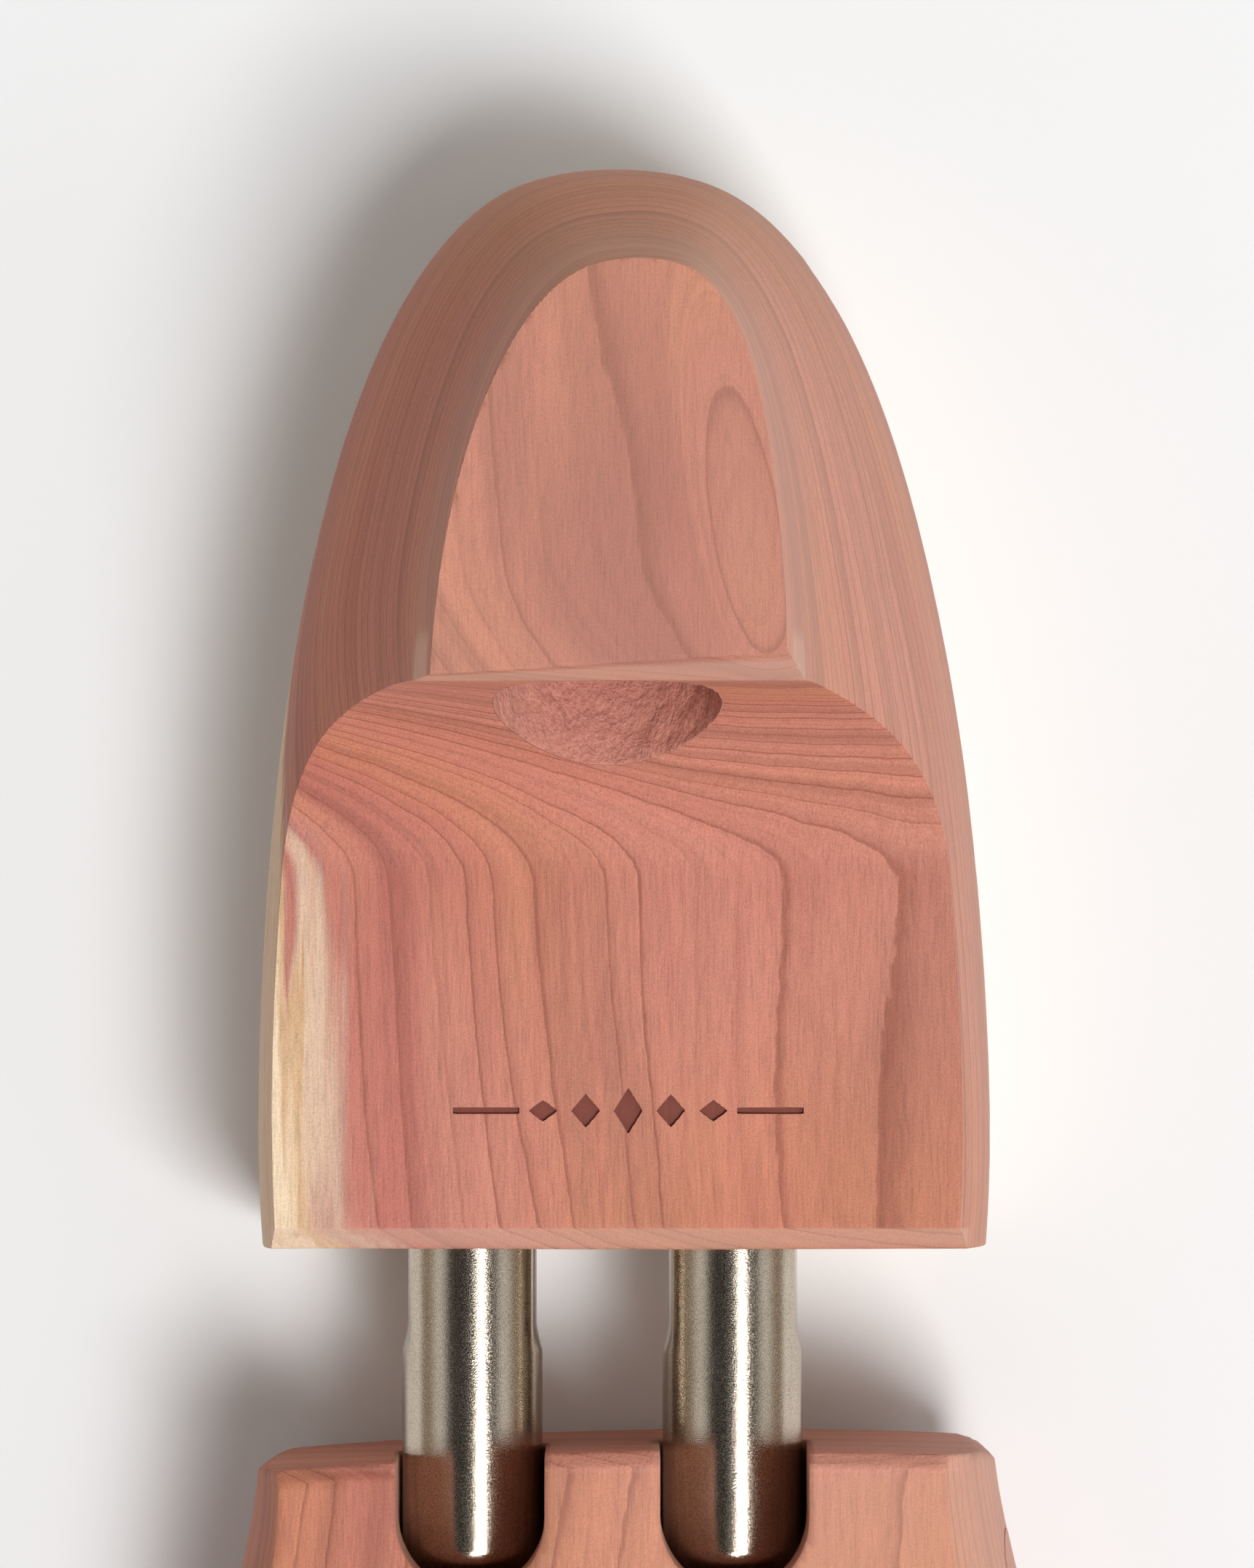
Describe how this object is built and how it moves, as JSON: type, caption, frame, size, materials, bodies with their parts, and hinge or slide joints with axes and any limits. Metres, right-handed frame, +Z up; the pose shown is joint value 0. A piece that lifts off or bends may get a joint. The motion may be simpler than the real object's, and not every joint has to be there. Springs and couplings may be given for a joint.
{
  "type": "shoe tree",
  "caption": "Cedar shoe tree for a left shoe: heel block with a finger hole sprung on twin steel tubes, and a hinged last-shaped front with a split toe.",
  "frame": {"origin": "on the floor, under the middle of the overall length and width", "axes": "+Z up from the sole, +Y towards the heel, -Y towards the toe, +X towards the outer side of the left foot; the tubes run along Y"},
  "size_m": [0.0891, 0.2742, 0.062],
  "materials": {
    "cedar": "sanded, unfinished",
    "nickel_plate": "satin nickel plate",
    "steel": "turned",
    "brass": "turned",
    "spring_steel": "zinc plate"
  },
  "bodies": {
    "forefoot": {"front_block": "cedar", "pivot_pin": "steel", "pivot_plug": "cedar", "rod_bush_rear": "brass", "rod_bush_front": "brass", "rod_plug_rear": "cedar", "rod_plug_front": "cedar"},
    "wing": {"toe_wing": "cedar", "guide_rod_rear": "steel", "guide_rod_front": "steel", "rod_insert_rear": "brass", "rod_insert_front": "brass", "wing_spring_rear": "spring_steel", "wing_spring_front": "spring_steel"},
    "tubes": {"tube_medial": "nickel_plate", "tube_lateral": "nickel_plate", "tube_eye_medial": "steel", "tube_eye_lateral": "steel", "tube_cap_medial": "steel", "tube_cap_lateral": "steel"},
    "heel": {"heel_block": "cedar", "retaining_pins": "steel", "pin_plugs": "cedar", "spring_seat_medial": "steel", "spring_seat_lateral": "steel", "heel_spring_medial": "spring_steel", "heel_spring_lateral": "spring_steel"}
  },
  "joints": [
    {"name": "wing_slide", "type": "slide", "parent": "forefoot", "child": "wing", "axis": [-1, 0, 0], "range_m": [0, 0.005], "stiffness_N_per_m": 4000, "springref_m": -0.003, "deforming": ["wing_spring_rear", "wing_spring_front"]},
    {"name": "tube_pivot", "type": "hinge", "parent": "forefoot", "child": "tubes", "pos_m": [0, 0.0169, 0.022], "axis": [1, 0, 0], "range_deg": [0, 15]},
    {"name": "heel_slide", "type": "slide", "parent": "tubes", "child": "heel", "axis": [0, -1, 0], "range_m": [0, 0.012], "stiffness_N_per_m": 3000, "springref_m": -0.006, "deforming": ["heel_spring_medial", "heel_spring_lateral"]}
  ]
}
